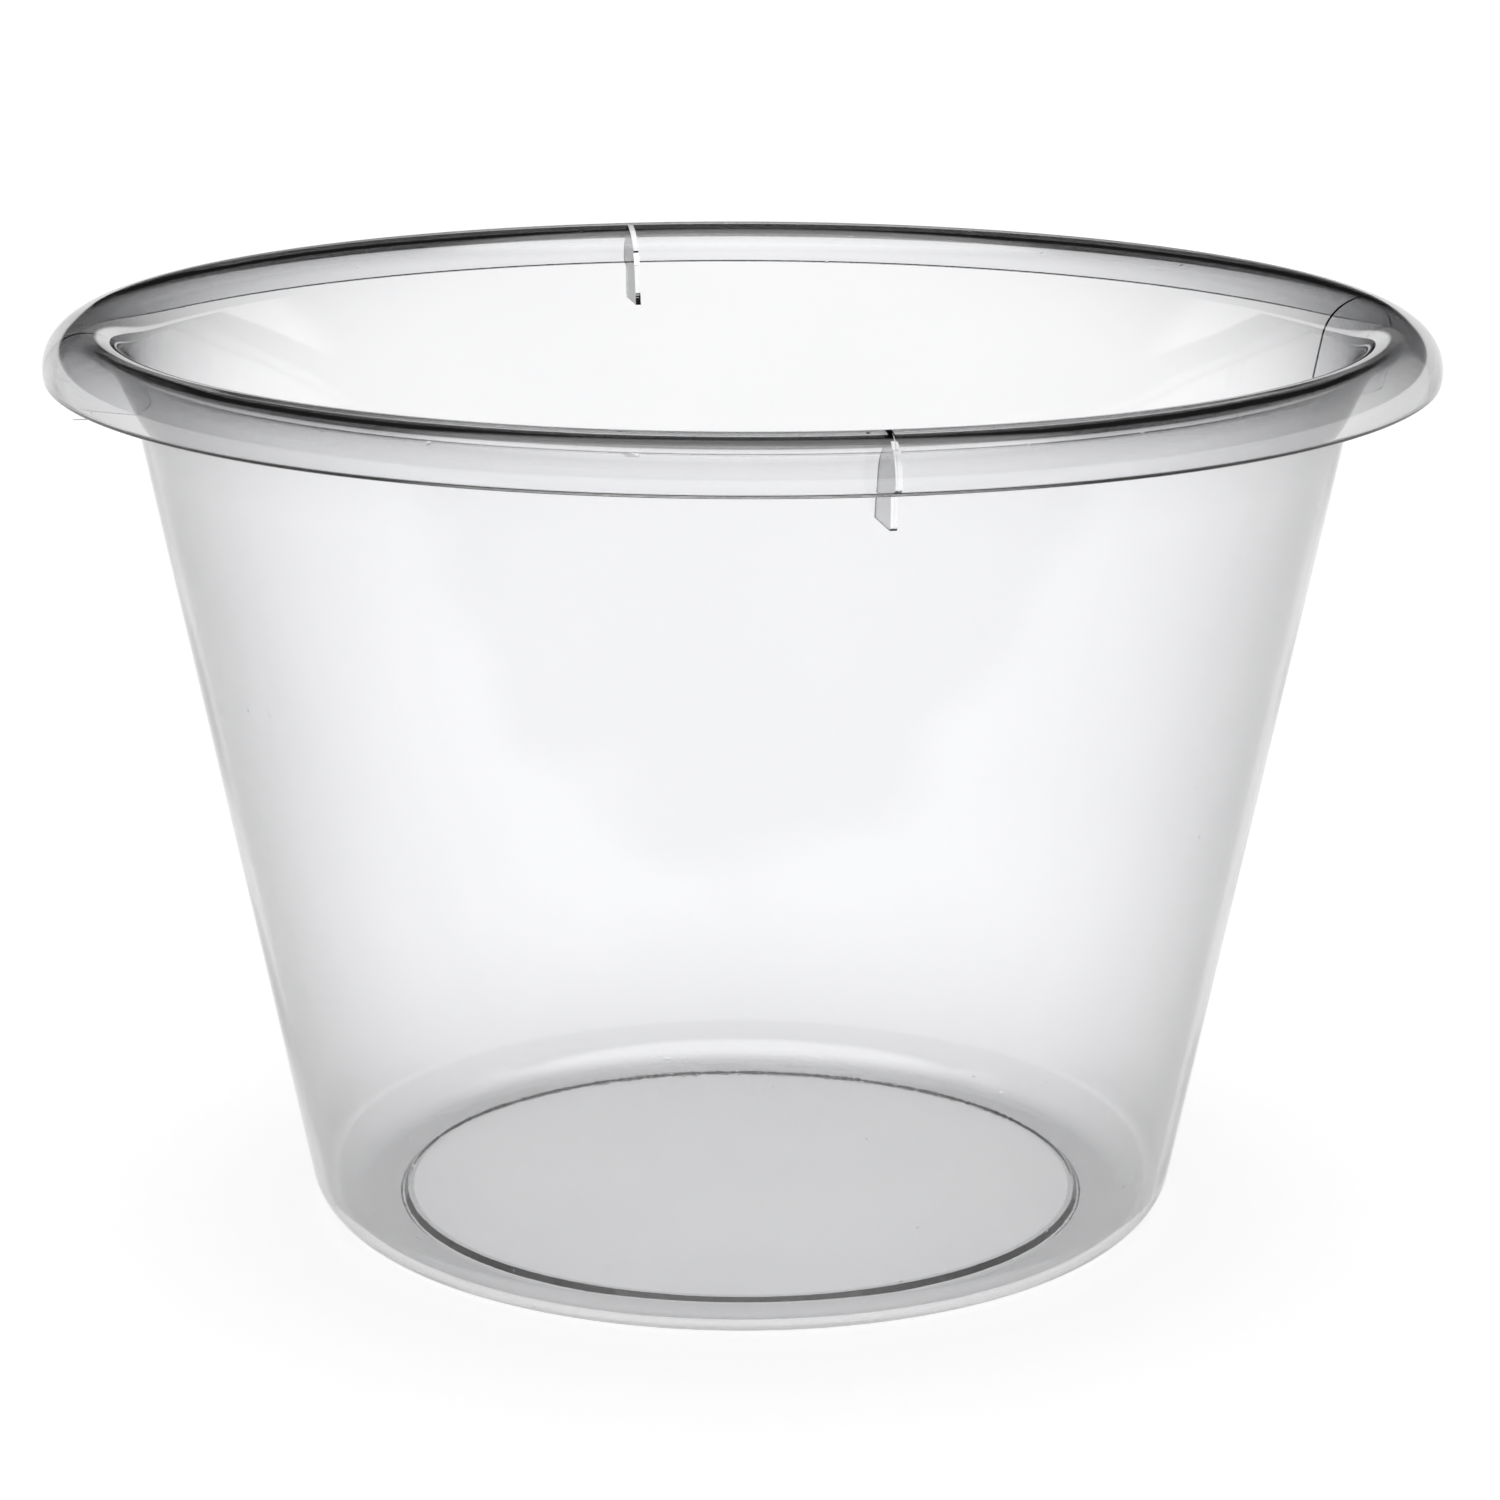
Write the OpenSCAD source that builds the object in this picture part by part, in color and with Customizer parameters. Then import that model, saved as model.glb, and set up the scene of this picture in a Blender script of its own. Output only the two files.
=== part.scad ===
// Clear bucket-shaped baby bathtub: a tapered round tub with a rolled rim.
// Origin at the centre of the foot ring's underside, +Z up, the front rib on -Y. Millimetres.

/* [Tub] */
// Diameter across the outside of the rolled rim
rim_d = 450; // [440:1:460]
// Height from the surface it stands on to the crest of the rim
tub_h = 300; // [270:1:315]
// Thickness of the plastic
wall_t = 3.4; // [2.4:0.1:4]
// Lean of the side wall, in degrees from upright
wall_lean = 11.3; // [9.5:0.1:12]

/* [Base] */
// Diameter of the outer edge of the flat that the tub stands on
foot_d = 255; // [240:1:262]
// Outside radius of the rounded corner between the foot and the side wall
corner_r = 17.5; // [12:0.5:22]
// Diameter of the raised disc in the middle of the floor
disc_d = 226; // [200:1:232]
// Rise of that disc above the foot ring
disc_rise = 1.6; // [1:0.1:4]

/* [Rim] */
// Outside radius of the outer half of the roll
roll_r = 13.3; // [11:0.1:15]
// How far the lip curls back under the roll, in degrees
lip_curl = 15; // [0:1:30]

/* [Ribs] */
// Thickness of each rib plate under the rim
rib_t = 2; // [1.5:0.1:4]
// How far the ribs reach down below the crest of the rim
rib_drop = 28; // [22:0.5:40]
// How far the ribs' outer edge, below the lip, lies inside the rim's outer edge
rib_inset = 8; // [6:0.5:12]
// Size of the chamfer at the lower outer corner of each rib
rib_chamfer = 1; // [0.5:0.5:8]

/* [Hidden] */
$fn = 180;

// Radial distance and height of the centre of the base corner's arc
corner_at = [foot_d / 2, corner_r];
// Outside of the side wall, carried down to the standing surface
wall_foot_r = foot_d / 2 + corner_r * (1 / cos(wall_lean) - tan(wall_lean));
// The inside of the side wall, carried down in the same way
wall_foot_inner_r = wall_foot_r - wall_t / cos(wall_lean);

// The roll is two arcs that share an upright tangent at the crest
crest_r = rim_d / 2 - roll_r;
outer_arc_at = [crest_r, tub_h - roll_r];
// The inner arc is as large as it needs to be to run smoothly into the inside of the wall
bend_r = (crest_r - wall_foot_inner_r - tub_h * tan(wall_lean))
    * cos(wall_lean) / (1 - sin(wall_lean));
inner_arc_at = [crest_r, tub_h - bend_r];

// Angles in the radial plane at which one stretch of the roll ends and the next starts
bend_start = 180 - wall_lean;
bend_end = 120;
crest_end = 45;

// The floor's disc, and the width of the slope around it
disc_r = disc_d / 2;
step_slope = 2;

// The lip's lowest point, and the ribs' lower and outer edges
lip_bottom = outer_arc_at[1] - roll_r * sin(lip_curl);
rib_bottom = tub_h - rib_drop;
rib_reach = rim_d / 2 - rib_inset;

plastic = [0.86, 0.88, 0.90, 0.45];

// Point at a distance and angle from a centre, in the radial plane
function around(centre, radius, angle) = centre + radius * [cos(angle), sin(angle)];

// Slice of the radial plane between two angles around a centre
module slice(centre, reach, from, to) {
    middle = (from + to) / 2;
    polygon([
        centre,
        around(centre, reach, from),
        around(centre, reach, middle) + around([0, 0], reach / 2, middle),
        around(centre, reach, to),
    ]);
}

// Curved strip one wall thick, with its outside at the given radius
module arc_strip(centre, radius, from, to) {
    intersection() {
        difference() {
            translate(centre) circle(r = radius);
            translate(centre) circle(r = radius - wall_t);
        }
        slice(centre, radius * 3, from, to);
    }
}

// Part of the radial plane inside the roll and outside the wall, which the ribs fill
module under_rim() {
    // Below the roll's arcs, out to the lip and the ribs' outer edge
    polygon([
        [wall_foot_r + rib_bottom * tan(wall_lean), rib_bottom],
        [rib_reach - rib_chamfer, rib_bottom],
        [rib_reach, rib_bottom + rib_chamfer],
        [rib_reach, lip_bottom],
        around(outer_arc_at, roll_r - wall_t, -lip_curl),
        outer_arc_at,
        inner_arc_at,
        around(inner_arc_at, bend_r - wall_t, bend_start),
    ]);
    // Inner side of the hollow in the roll
    intersection() {
        translate(inner_arc_at) circle(r = bend_r - wall_t);
        slice(inner_arc_at, bend_r * 3, bend_start, 90);
    }
    // Outer side of the hollow in the roll
    intersection() {
        translate(outer_arc_at) circle(r = roll_r - wall_t);
        slice(outer_arc_at, roll_r * 3, 90, -lip_curl);
    }
}

// Leaning side wall, from the base corner up to the roll
module side_wall() {
    color(plastic) rotate_extrude() polygon([
        around(corner_at, corner_r, -wall_lean),
        around(inner_arc_at, bend_r - wall_t, bend_start),
        around(inner_arc_at, bend_r, bend_start),
        around(corner_at, corner_r - wall_t, -wall_lean),
    ]);
}

// Rounded corner that turns the foot ring up into the side wall
module base_corner() {
    color(plastic) rotate_extrude() arc_strip(corner_at, corner_r, -90, -wall_lean);
}

// Flat ring that the tub stands on, with the slope up to the floor disc
module foot_ring() {
    color(plastic) rotate_extrude() polygon([
        [disc_r + step_slope, 0],
        [foot_d / 2, 0],
        [foot_d / 2, wall_t],
        [disc_r + step_slope, wall_t],
        [disc_r, wall_t + disc_rise],
        [disc_r, disc_rise],
    ]);
}

// Raised disc in the middle of the floor
module floor_disc() {
    color(plastic) translate([0, 0, disc_rise]) cylinder(h = wall_t, r = disc_r);
}

// Roll, first stretch: from the wall up to just inside the crest
module rim_inner_bend() {
    color(plastic) rotate_extrude() arc_strip(inner_arc_at, bend_r, bend_end, bend_start);
}

// Roll, second stretch: over the crest
module rim_crest() {
    color(plastic) rotate_extrude() {
        arc_strip(inner_arc_at, bend_r, 90, bend_end);
        arc_strip(outer_arc_at, roll_r, crest_end, 90);
    }
}

// Roll, last stretch: down and slightly back under, as a lip for the fingers
module rim_lip() {
    color(plastic) rotate_extrude() arc_strip(outer_arc_at, roll_r, -lip_curl, crest_end);
}

// Upright plate that ties the lip to the wall, at an angle around the tub
module rim_rib(azimuth) {
    color(plastic) rotate(azimuth) intersection() {
        rotate_extrude() under_rim();
        translate([wall_foot_r, -rib_t / 2, rib_bottom - wall_t])
            cube([rim_d / 2 - wall_foot_r, rib_t, tub_h - rib_bottom + wall_t]);
    }
}

side_wall();
base_corner();
foot_ring();
floor_disc();
rim_inner_bend();
rim_crest();
rim_lip();
rim_rib(-90);  // rim_rib_front
rim_rib(0);  // rim_rib_right
rim_rib(90);  // rim_rib_back
rim_rib(180);  // rim_rib_left
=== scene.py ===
"""Looks of the clear bucket-shaped baby bathtub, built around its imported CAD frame.

Every CAD node gets a visual piece with the same job: a finely cut stretch of the moulding's outline,
turned round the tub's axis. Where two pieces of the one moulding meet, the plastic carries on, so the
faces between them pass light straight through and only the real skin refracts.
"""

import math

import bpy
from mathutils import Euler, Matrix, Vector


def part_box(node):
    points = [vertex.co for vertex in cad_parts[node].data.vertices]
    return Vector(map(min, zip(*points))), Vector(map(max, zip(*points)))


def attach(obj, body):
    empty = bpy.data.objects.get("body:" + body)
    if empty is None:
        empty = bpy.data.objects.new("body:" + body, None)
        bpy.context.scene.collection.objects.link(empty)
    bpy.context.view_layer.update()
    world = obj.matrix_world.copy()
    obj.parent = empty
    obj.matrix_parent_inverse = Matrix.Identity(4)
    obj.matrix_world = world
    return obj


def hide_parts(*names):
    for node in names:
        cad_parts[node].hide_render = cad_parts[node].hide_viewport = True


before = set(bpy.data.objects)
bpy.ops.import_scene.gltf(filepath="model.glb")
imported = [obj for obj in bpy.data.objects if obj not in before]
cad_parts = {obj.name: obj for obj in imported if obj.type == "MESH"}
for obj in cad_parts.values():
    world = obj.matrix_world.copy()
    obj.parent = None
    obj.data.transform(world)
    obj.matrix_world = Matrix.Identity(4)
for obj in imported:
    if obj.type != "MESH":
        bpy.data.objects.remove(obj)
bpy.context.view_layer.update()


# ---- Sizes, in metres and radians, from the frame's boxes and the design's angles ----

def reach(node):
    """The furthest that a CAD node reaches along +X."""
    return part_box(node)[1][0]


def bottom(node):
    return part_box(node)[0][2]


def top(node):
    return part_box(node)[1][2]


QUARTER = math.pi / 2
LEAN = math.radians(11.3)
CURL = math.radians(15)
HEIGHT = top("rim_crest")
WALL = top("floor_disc") - bottom("floor_disc")
DISC_RISE = bottom("floor_disc")
DISC_R = reach("floor_disc")

# Width of the slope around the floor disc, and the rounding of its two edges
STEP = 0.002
STEP_ROUNDING = 0.0011

FOOT_R = reach("foot_ring")
CORNER_R = (reach("base_corner") - FOOT_R) / math.cos(LEAN)
ROLL_R = (HEIGHT - bottom("rim_lip")) / (1 + math.sin(CURL))
CREST_R = reach("rim_lip") - ROLL_R

# How far the lip's two arcs stop short of its end, and the rounding of its corners between them
LIP_MARGIN = 0.0009
LIP_ROUNDING = LIP_MARGIN * 0.95

RIB_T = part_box("rim_rib_right")[1][1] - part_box("rim_rib_right")[0][1]
RIB_BOTTOM = bottom("rim_rib_right")

# How far the ribs' outer edge lies inside the lip
RIB_INSET = 0.008
RIB_REACH = reach("rim_lip") - RIB_INSET
RIB_CHAMFER = 0.001
RIB_ROUNDING = 0.0006

# Radius of the roll's inner arc, which runs smoothly into the inside of the wall
WALL_FOOT_R = FOOT_R + CORNER_R * (1 / math.cos(LEAN) - math.tan(LEAN))
BEND_R = (
    (CREST_R - WALL_FOOT_R + WALL / math.cos(LEAN) - HEIGHT * math.tan(LEAN))
    * math.cos(LEAN) / (1 - math.sin(LEAN))
)

# Centres of the outline's arcs, as (distance from the axis, height)
CORNER_AT = (FOOT_R, CORNER_R)
BEND_AT = (CREST_R, HEIGHT - BEND_R)
ROLL_AT = (CREST_R, HEIGHT - ROLL_R)

# Angles in the radial plane where the roll passes from one piece to the next
BEND_START = math.pi - LEAN
BEND_END = math.radians(120)
CREST_END = math.radians(45)

# How finely the moulding is cut, and how close two points are to count as one
COLUMNS_PER_QUARTER = 72
STEPS_PER_TURN = 96
LEAST_ARC_STEPS = 3
WALL_STEPS = 16
RIB_STEPS = 2
DISC_STEPS = 6
SAME_POINT = 1e-7
PLACE_DIGITS = 7

RIB_HALF_ANGLE = math.asin(RIB_T / 2 / CREST_R)
RIB_AZIMUTHS = {
    "rim_rib_front": -QUARTER,
    "rim_rib_right": 0,
    "rim_rib_back": QUARTER,
    "rim_rib_left": math.pi,
}


# ---- Outlines: points of (distance from the axis, height, and the two parts of the normal) ----
# Each runs anticlockwise round the plastic, so that the outside is on its right.

def at(centre, radius, angle):
    return (centre[0] + radius * math.cos(angle), centre[1] + radius * math.sin(angle))


def arc(centre, radius, start, end):
    """Stretch of a circle between two angles."""
    steps = max(LEAST_ARC_STEPS, round(abs(end - start) / math.tau * STEPS_PER_TURN))
    outward = 1 if end > start else -1
    points = []
    for i in range(steps + 1):
        angle = start + (end - start) * i / steps
        normal = (outward * math.cos(angle), outward * math.sin(angle))
        points.append((*at(centre, radius, angle), *normal))
    return points


def straight(start, end, steps=1):
    """Stretch of a line between two points."""
    dr, dz = end[0] - start[0], end[1] - start[1]
    length = math.hypot(dr, dz)
    return [
        (start[0] + dr * i / steps, start[1] + dz * i / steps, dz / length, -dr / length)
        for i in range(steps + 1)
    ]


def rounded(points, radius):
    """Straight stretches through the points, with every corner between them rounded."""
    outline = [points[0]]
    for before, corner, after in zip(points, points[1:], points[2:]):
        corner = Vector(corner)
        back = (Vector(before) - corner).normalized()
        ahead = (Vector(after) - corner).normalized()
        half = back.angle(ahead) / 2
        centre = corner + (back + ahead).normalized() * radius / math.sin(half)
        first = corner + back * radius / math.tan(half) - centre
        last = corner + ahead * radius / math.tan(half) - centre
        start = math.atan2(first.y, first.x)
        turn = math.remainder(math.atan2(last.y, last.x) - start, math.tau)
        bend = arc(centre, radius, start, start + turn)
        outline += straight(outline[-1][:2], bend[0][:2]) + bend
    return outline[1:] + straight(outline[-1][:2], points[-1])


# ---- Meshes ----

def turned(point, azimuth):
    """Place and normal of an outline's point, at an azimuth round the tub's axis."""
    r, z, normal_r, normal_z = point
    c, s = math.cos(azimuth), math.sin(azimuth)
    return Vector((r * c, r * s, z)), Vector((normal_r * c, normal_r * s, normal_z))


def distinct(corners):
    """The corners of a face without those at the same place as the one before."""
    return [c for i, c in enumerate(corners) if (c[0] - corners[i - 1][0]).length > SAME_POINT]


def swept(outline, azimuth_a, azimuth_b):
    """Faces between two azimuths along an outline, each a list of (place, normal)."""
    faces = []
    for low, high in zip(outline, outline[1:]):
        face = distinct([
            turned(low, azimuth_a),
            turned(low, azimuth_b),
            turned(high, azimuth_b),
            turned(high, azimuth_a),
        ])
        if len(face) > 2:
            faces.append(face)
    return faces


def sectors():
    """Azimuth ranges that go once round the tub, and whether a rib stands in each."""
    for rib in range(len(RIB_AZIMUTHS)):
        start = rib * QUARTER + RIB_HALF_ANGLE
        width = (QUARTER - 2 * RIB_HALF_ANGLE) / COLUMNS_PER_QUARTER
        yield start - 2 * RIB_HALF_ANGLE, start, True
        for i in range(COLUMNS_PER_QUARTER):
            yield start + width * i, start + width * (i + 1), False


def make_piece(node, skin_faces, joint_faces):
    """Piece that stands for a CAD node. Its skin refracts, and its joints let light straight on."""
    places, index_of, faces, normals = [], {}, [], []
    for face in skin_faces + joint_faces:
        corners = []
        for place, normal in face:
            key = tuple(round(x, PLACE_DIGITS) + 0.0 for x in place)
            if key not in index_of:
                index_of[key] = len(places)
                places.append(place)
            corners.append(index_of[key])
            normals.append(normal)
        faces.append(corners)
    mesh = bpy.data.meshes.new(node + "_look")
    mesh.from_pydata(places, [], faces)
    mesh.materials.append(DISC_PLASTIC if node == "floor_disc" else PLASTIC)
    mesh.materials.append(JOINT)
    slots = [0] * len(skin_faces) + [1] * len(joint_faces)
    mesh.polygons.foreach_set("material_index", slots)
    mesh.polygons.foreach_set("use_smooth", [True] * len(faces))
    mesh.normals_split_custom_set(normals)
    piece = bpy.data.objects.new(node + "_look", mesh)
    bpy.context.scene.collection.objects.link(piece)
    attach(piece, "root")
    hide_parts(node)


def lathe(node, *skins, under_ribs=()):
    """Piece turned from its outlines, given in order round the plastic, with a joint after each.

    under_ribs has the numbers of the outlines that the ribs are moulded to.
    """
    joints = [
        straight(skin[-1][:2], following[0][:2])
        for skin, following in zip(skins, skins[1:] + skins[:1])
        if math.dist(skin[-1][:2], following[0][:2]) > SAME_POINT and skin[-1][0] > 0
    ]
    skin_faces, joint_faces = [], []
    for azimuth_a, azimuth_b, ribbed in sectors():
        for number, skin in enumerate(skins):
            faces = joint_faces if ribbed and number in under_ribs else skin_faces
            faces += swept(skin, azimuth_a, azimuth_b)
        for joint in joints:
            joint_faces += swept(joint, azimuth_a, azimuth_b)
    make_piece(node, skin_faces, joint_faces)


def make_rib(node, edge, covered):
    """Upright plate between the wall and the lip: edge is its free outline, covered what it meets."""
    middle = RIB_AZIMUTHS[node]
    near, far = middle - RIB_HALF_ANGLE, middle + RIB_HALF_ANGLE
    skin_faces = swept(edge, near, far)
    joint_faces = [
        [(place, -normal) for place, normal in reversed(face)]
        for face in swept(covered, near, far)
    ]
    outline = [*edge, *reversed(covered)]
    for side, facing in ((near, -1), (far, 1)):
        normal = facing * Vector((-math.sin(side), math.cos(side), 0))
        plate = distinct([(turned(point, side)[0], normal) for point in outline])
        skin_faces.append(plate if side == near else plate[::-1])
    make_piece(node, skin_faces, joint_faces)


# ---- Materials ----

# Numbers of a Mix node's sockets for colours. It has others with the same names, for plain numbers.
MIX_A, MIX_B, MIX_RESULT = 6, 7, 2

# The plastic's tint, cooler in slow clouds, and the near black of the painted shade that it darkens to
# where seen at a grazing angle
COOLER = (0.93, 0.932, 0.944, 1)
CLEARER = (0.965, 0.965, 0.97, 1)
SLANT_SHADE_TONE = (0.012, 0.012, 0.016, 1)

# Roughness where the plastic is haziest, and the specks' radius in parts of their spacing
HAZE = 0.03
SPECK_R = 0.07

# The wall's colour darkens from here down, slowly at first, as painted shade for the contact shadow
# near the floor, and the rim's power for the painted grazing-angle shade takes over between two heights
FOOT_SHADE_BELOW = 0.6 * HEIGHT
FOOT_SHADE_POWER = 5
WALL_SLANT_BELOW = HEIGHT - 3 * ROLL_R
RIM_SLANT_ABOVE = HEIGHT - ROLL_R


def node_setter(tree):
    """Function that adds a node of a kind and sets its inputs by name or number."""
    def add(kind, inputs=(), **settings):
        node = tree.nodes.new(kind)
        for name, value in settings.items():
            setattr(node, name, value)
        for name, value in dict(inputs).items():
            if isinstance(value, bpy.types.NodeSocket):
                tree.links.new(value, node.inputs[name])
            else:
                node.inputs[name].default_value = value
        return node
    return add


def new_material(name):
    material = bpy.data.materials.new(name)
    material.use_nodes = True
    material.node_tree.nodes.clear()
    return material, node_setter(material.node_tree)


def clear_plastic(name, wall_slant, rim_slant, foot_tone):
    """Glossy clear moulded plastic with a faint cool tint, slow ripples, a fine grain and specks.

    Where it is seen at a grazing angle its colour darkens. This is painted shade for the dark edges
    that reflection and refraction give clear plastic, and the two powers say how late that sets in, on
    the wall and in the thick roll of the rim. Its colour also darkens down the wall, as painted shade
    for the contact shadow near the floor, to foot_tone at the bottom.
    """
    material, add = new_material(name)
    coords = add("ShaderNodeTexCoord").outputs["Object"]
    clouds = add("ShaderNodeTexNoise", {"Vector": coords, "Scale": 16, "Detail": 3}).outputs["Fac"]
    ripples = add("ShaderNodeTexNoise", {"Vector": coords, "Scale": 11, "Detail": 1}).outputs["Fac"]
    grain = add("ShaderNodeTexNoise", {"Vector": coords, "Scale": 900, "Detail": 2}).outputs["Fac"]
    tint = add("ShaderNodeMix", {
        "Factor": clouds, MIX_A: COOLER, MIX_B: CLEARER,
    }, data_type="RGBA")
    height = add("ShaderNodeSeparateXYZ", {"Vector": coords}).outputs["Z"]
    # Painted shade: the colour darkens down the wall towards foot_tone, for the contact shadow near the
    # floor
    foot_shade_ramp = add("ShaderNodeMapRange", {
        "Value": height, "From Max": FOOT_SHADE_BELOW, "To Min": 1, "To Max": 0,
    })
    foot_shade_amount = add("ShaderNodeMath", {
        0: foot_shade_ramp.outputs["Result"], 1: FOOT_SHADE_POWER,
    }, operation="POWER")
    foot_shaded = add("ShaderNodeMix", {
        "Factor": foot_shade_amount.outputs["Value"],
        MIX_A: (1, 1, 1, 1),
        MIX_B: (foot_tone, foot_tone, foot_tone, 1),
    }, data_type="RGBA")
    tint_and_foot_shade = add("ShaderNodeMix", {
        "Factor": 1.0, MIX_A: tint.outputs[MIX_RESULT], MIX_B: foot_shaded.outputs[MIX_RESULT],
    }, data_type="RGBA", blend_type="MULTIPLY")
    # Painted shade: the colour darkens to near black where the surface is seen at a grazing angle
    facing = add("ShaderNodeLayerWeight", {"Blend": 0.5}).outputs["Facing"]
    power = add("ShaderNodeMapRange", {
        "Value": height, "From Min": WALL_SLANT_BELOW, "From Max": RIM_SLANT_ABOVE,
        "To Min": wall_slant, "To Max": rim_slant,
    })
    slant_shade_mask = add("ShaderNodeMath", {0: facing, 1: power.outputs["Result"]}, operation="POWER")
    slant_shaded_colour = add("ShaderNodeMix", {
        "Factor": slant_shade_mask.outputs["Value"], MIX_A: tint_and_foot_shade.outputs[MIX_RESULT], MIX_B: SLANT_SHADE_TONE,
    }, data_type="RGBA")
    haze = add("ShaderNodeMapRange", {"Value": clouds, "To Min": 0.0, "To Max": HAZE})
    specks = add("ShaderNodeTexVoronoi", {"Vector": coords, "Scale": 90}).outputs["Distance"]
    pimple = add("ShaderNodeMapRange", {"Value": specks, "From Max": SPECK_R, "To Min": 1, "To Max": 0})
    waves = add("ShaderNodeBump", {"Height": ripples, "Strength": 0.3, "Distance": 0.002})
    skin = add("ShaderNodeBump", {
        "Height": grain, "Strength": 0.03, "Distance": 0.0001, "Normal": waves.outputs["Normal"],
    })
    specked = add("ShaderNodeBump", {
        "Height": pimple.outputs["Result"], "Strength": 0.3, "Distance": 0.0002,
        "Normal": skin.outputs["Normal"],
    })
    shader = add("ShaderNodeBsdfPrincipled", {
        "Base Color": slant_shaded_colour.outputs[MIX_RESULT],
        "Roughness": haze.outputs["Result"],
        "IOR": 1.49,
        "Transmission Weight": 1.0,
        "Normal": specked.outputs["Normal"],
    })
    add("ShaderNodeOutputMaterial", {"Surface": shader.outputs["BSDF"]})
    return material


def plastic_carries_on():
    """Face inside the plastic, between two pieces of the one moulding: light goes straight on."""
    material, add = new_material("inside_the_moulding")
    shader = add("ShaderNodeBsdfTransparent")
    add("ShaderNodeOutputMaterial", {"Surface": shader.outputs["BSDF"]})
    return material


FLOOR_DARKEST = (0.45, 0.45, 0.45, 1)
FLOOR_PALEST = (0.47, 0.47, 0.47, 1)
FLOOR_GLOW = 0.82


def pale_floor():
    """White light table: matt, a little mottled, and lit from inside as well as from above."""
    material, add = new_material("pale_floor")
    coords = add("ShaderNodeTexCoord").outputs["Object"]
    clouds = add("ShaderNodeTexNoise", {"Vector": coords, "Scale": 2, "Detail": 2}).outputs["Fac"]
    tone = add("ShaderNodeMix", {
        "Factor": clouds, MIX_A: FLOOR_DARKEST, MIX_B: FLOOR_PALEST,
    }, data_type="RGBA")
    shader = add("ShaderNodeBsdfPrincipled", {
        "Base Color": tone.outputs[MIX_RESULT],
        "Roughness": 0.8,
        "Specular IOR Level": 0.1,
        "Emission Color": (1.0, 1.0, 1.0, 1),
        "Emission Strength": FLOOR_GLOW,
    })
    add("ShaderNodeOutputMaterial", {"Surface": shader.outputs["BSDF"]})
    return material


# foot_tone sets how dark the painted shade at the foot gets, and the two powers set how late the
# painted grazing-angle shade sets in
PLASTIC = clear_plastic("clear_plastic", wall_slant=2.2, rim_slant=1.2, foot_tone=0.88)
# The photograph looks across the floor disc at a low slant, where it has to stay clear
DISC_PLASTIC = clear_plastic("clear_plastic_disc", wall_slant=4.2, rim_slant=4.2, foot_tone=1.0)
JOINT = plastic_carries_on()


# ---- The moulding ----

def make_tub():
    disc_edge = DISC_R - STEP
    lathe(
        "floor_disc",
        straight((0, DISC_RISE), (disc_edge, DISC_RISE), DISC_STEPS),
        straight((disc_edge, DISC_RISE + WALL), (0, DISC_RISE + WALL), DISC_STEPS),
    )
    lathe(
        "foot_ring",
        rounded([(disc_edge, DISC_RISE), (DISC_R, DISC_RISE), (DISC_R + STEP, 0), (FOOT_R, 0)],
                STEP_ROUNDING),
        rounded([(FOOT_R, WALL), (DISC_R + STEP, WALL), (DISC_R, WALL + DISC_RISE),
                 (disc_edge, WALL + DISC_RISE)], STEP_ROUNDING),
    )
    lathe(
        "base_corner",
        arc(CORNER_AT, CORNER_R, -QUARTER, -LEAN),
        arc(CORNER_AT, CORNER_R - WALL, -LEAN, -QUARTER),
    )

    wall_low = at(CORNER_AT, CORNER_R, -LEAN)
    wall_high = at(BEND_AT, BEND_R - WALL, BEND_START)
    rib_low = (WALL_FOOT_R + RIB_BOTTOM * math.tan(LEAN), RIB_BOTTOM)
    behind_ribs = straight(rib_low, wall_high, RIB_STEPS)
    lathe(
        "side_wall",
        straight(wall_low, rib_low, WALL_STEPS),
        behind_ribs,
        straight(at(BEND_AT, BEND_R, BEND_START), at(CORNER_AT, CORNER_R - WALL, -LEAN), WALL_STEPS),
        under_ribs={1},
    )

    bend_hollow = arc(BEND_AT, BEND_R - WALL, BEND_START, BEND_END)
    crest_hollow = (
        arc(BEND_AT, BEND_R - WALL, BEND_END, QUARTER)
        + arc(ROLL_AT, ROLL_R - WALL, QUARTER, CREST_END)[1:]
    )
    lathe(
        "rim_inner_bend",
        bend_hollow,
        arc(BEND_AT, BEND_R, BEND_END, BEND_START),
        under_ribs={0},
    )
    lathe(
        "rim_crest",
        crest_hollow,
        arc(ROLL_AT, ROLL_R, CREST_END, QUARTER) + arc(BEND_AT, BEND_R, QUARTER, BEND_END)[1:],
        under_ribs={0},
    )

    # The lip's two arcs stop LIP_MARGIN short of its end, which is rounded between them
    before_end = -CURL + LIP_MARGIN / (ROLL_R - WALL)
    after_end = -CURL + LIP_MARGIN / ROLL_R
    lip_hollow = arc(ROLL_AT, ROLL_R - WALL, CREST_END, before_end)
    lathe(
        "rim_lip",
        lip_hollow,
        rounded([
            at(ROLL_AT, ROLL_R - WALL, before_end),
            at(ROLL_AT, ROLL_R - WALL, -CURL),
            at(ROLL_AT, ROLL_R, -CURL),
            at(ROLL_AT, ROLL_R, after_end),
        ], LIP_ROUNDING),
        arc(ROLL_AT, ROLL_R, after_end, CREST_END),
        under_ribs={0},
    )

    rib_edge = rounded([
        rib_low,
        (RIB_REACH - RIB_CHAMFER, RIB_BOTTOM),
        (RIB_REACH, RIB_BOTTOM + RIB_CHAMFER),
        (RIB_REACH, bottom("rim_lip")),
        at(ROLL_AT, ROLL_R - WALL, before_end),
    ], RIB_ROUNDING)
    for node in RIB_AZIMUTHS:
        make_rib(node, rib_edge, behind_ribs + bend_hollow[1:] + crest_hollow[1:] + lip_hollow[1:])


# ---- Studio ----

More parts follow.
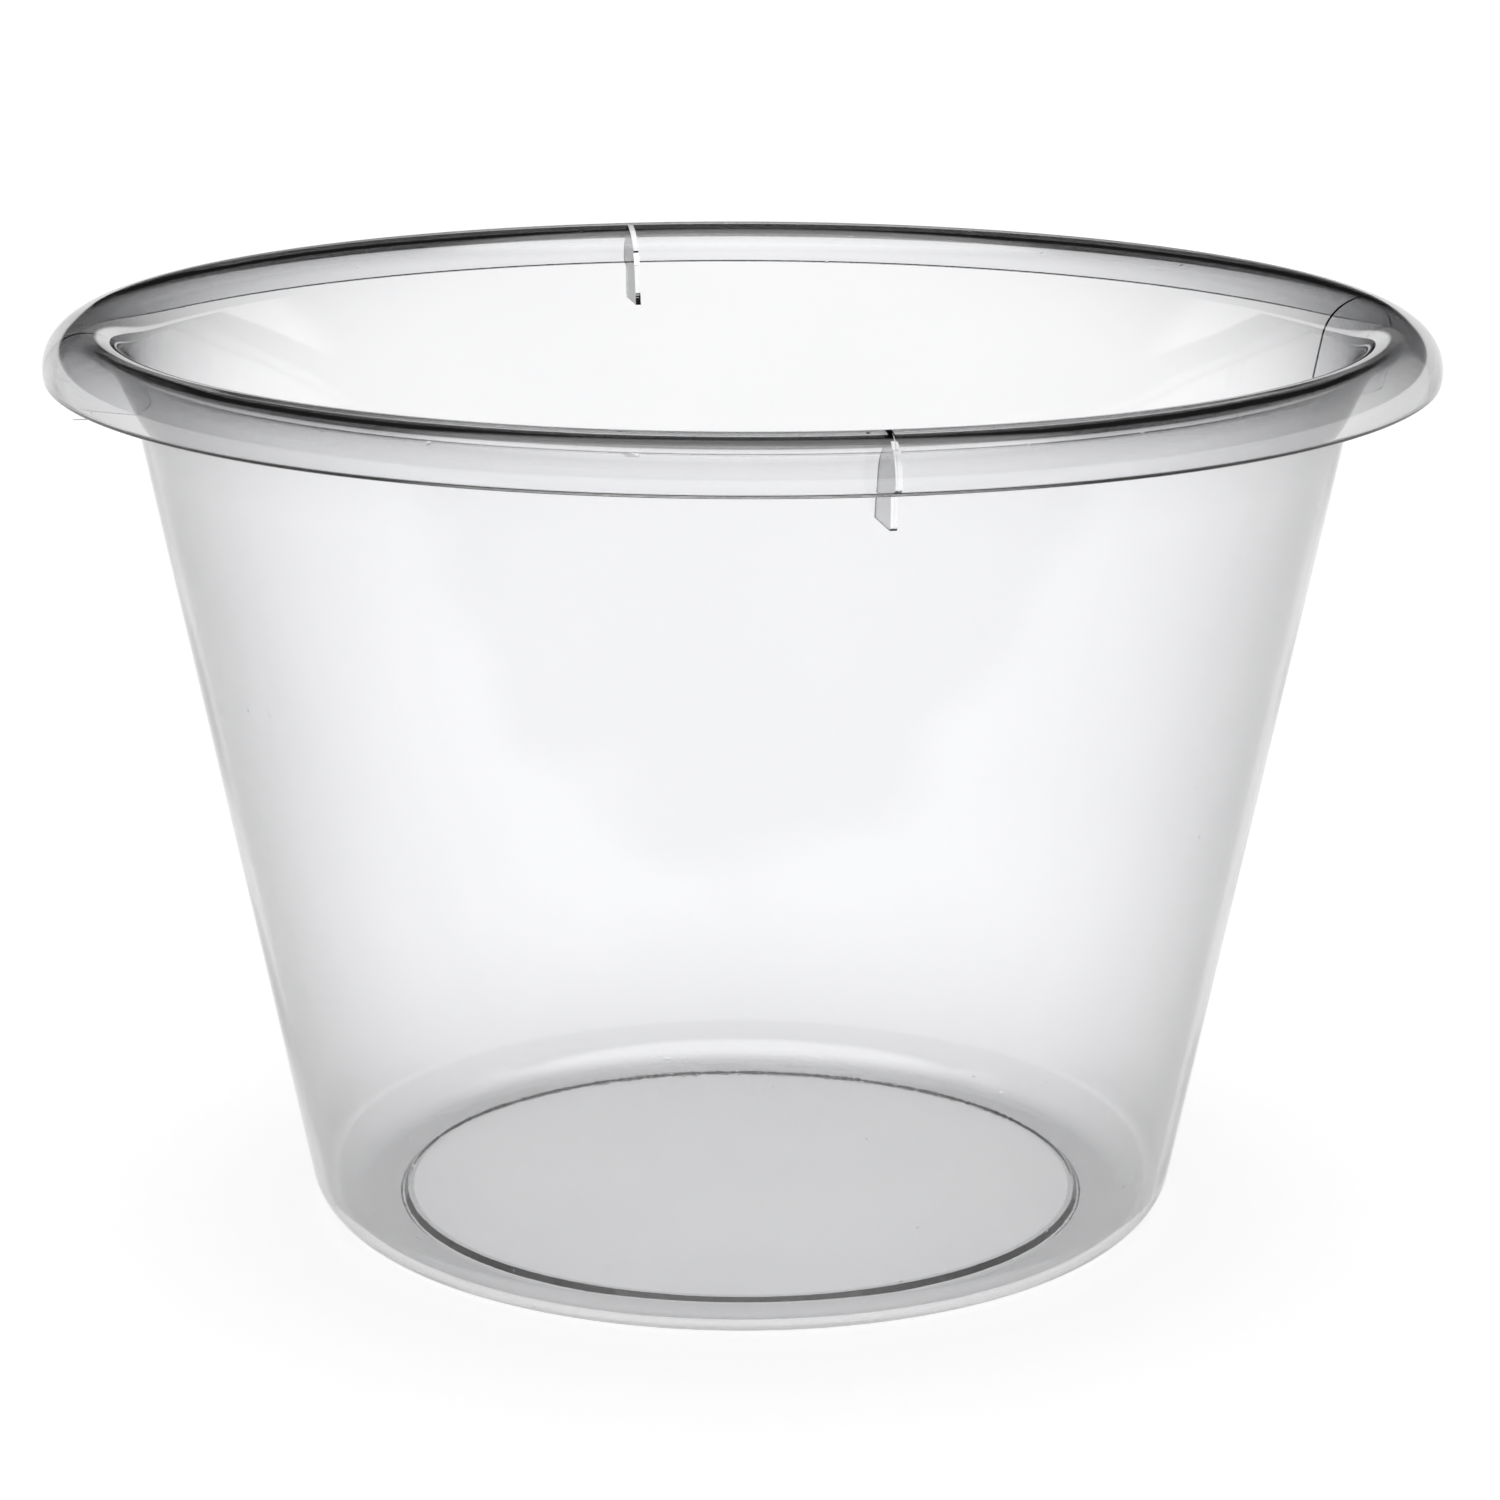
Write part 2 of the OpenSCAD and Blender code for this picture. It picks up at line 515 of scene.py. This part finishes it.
# The camera stands this far from the tub's axis and above the floor, a little left of the front rib
CAMERA_DISTANCE = 1.4707
CAMERA_HEIGHT = 0.5343
CAMERA_AZIMUTH = math.radians(-101.3)
CAMERA_PITCH = math.radians(-14.51)
CAMERA_TURN = math.radians(-0.105)
CAMERA_ROLL = math.radians(0.16)
SENSOR = 36
LENS = 109.9
CLIP_END = 100
FLOOR_R = 40
FLOOR_SIDES = 64

# Sliver of air between the floor and the tub's standing ring
FLOOR_GAP = 0.0002

# Brightness of the studio at the sines of heights above the horizon, from the horizon up: the white
# backdrop, the dark room around it, and the broad soft light overhead
SKY = ((0.0, 0.43), (0.1, 0.43), (0.13, 0.006), (0.84, 0.006), (0.92, 1.0))
SKY_STRENGTH = 2.4


def make_camera():
    data = bpy.data.cameras.new("camera")
    data.sensor_width = SENSOR
    data.lens = LENS
    data.clip_end = CLIP_END
    camera = bpy.data.objects.new("camera", data)
    camera.location = (
        CAMERA_DISTANCE * math.cos(CAMERA_AZIMUTH),
        CAMERA_DISTANCE * math.sin(CAMERA_AZIMUTH),
        CAMERA_HEIGHT,
    )
    heading = CAMERA_AZIMUTH + QUARTER + CAMERA_TURN
    level = Euler((QUARTER + CAMERA_PITCH, 0, heading)).to_matrix()
    camera.rotation_euler = (level @ Matrix.Rotation(CAMERA_ROLL, 3, "Z")).to_euler()
    bpy.context.scene.collection.objects.link(camera)
    bpy.context.scene.camera = camera


def make_floor():
    angles = [math.tau * i / FLOOR_SIDES for i in range(FLOOR_SIDES)]
    edge = [(FLOOR_R * math.cos(a), FLOOR_R * math.sin(a), -FLOOR_GAP) for a in angles]
    mesh = bpy.data.meshes.new("floor")
    mesh.from_pydata(edge, [], [list(range(FLOOR_SIDES))])
    mesh.materials.append(pale_floor())
    floor = bpy.data.objects.new("floor", mesh)
    bpy.context.scene.collection.objects.link(floor)


def make_light():
    world = bpy.data.worlds.new("studio")
    world.use_nodes = True
    world.node_tree.nodes.clear()
    add = node_setter(world.node_tree)
    direction = add("ShaderNodeTexCoord").outputs["Generated"]
    height = add("ShaderNodeSeparateXYZ", {"Vector": direction}).outputs["Z"]
    ramp = add("ShaderNodeValToRGB", {"Fac": height})
    ramp.color_ramp.interpolation = "EASE"
    stops = ramp.color_ramp.elements
    stops[-1].position = SKY[-1][0]
    for sine, _ in SKY[1:-1]:
        stops.new(sine)
    for stop, (sine, tone) in zip(stops, SKY):
        stop.color = (tone, tone, tone, 1)
    background = add("ShaderNodeBackground", {
        "Color": ramp.outputs["Color"], "Strength": SKY_STRENGTH,
    })
    add("ShaderNodeOutputWorld", {"Surface": background.outputs["Background"]})
    bpy.context.scene.world = world


make_tub()
make_camera()
make_floor()
make_light()

bpy.context.scene.view_settings.view_transform = "Standard"

# Light crosses many faces of clear plastic before it reaches the camera
bpy.context.scene.cycles.transparent_max_bounces = 64
bpy.context.scene.cycles.transmission_bounces = 24
bpy.context.scene.cycles.max_bounces = 24
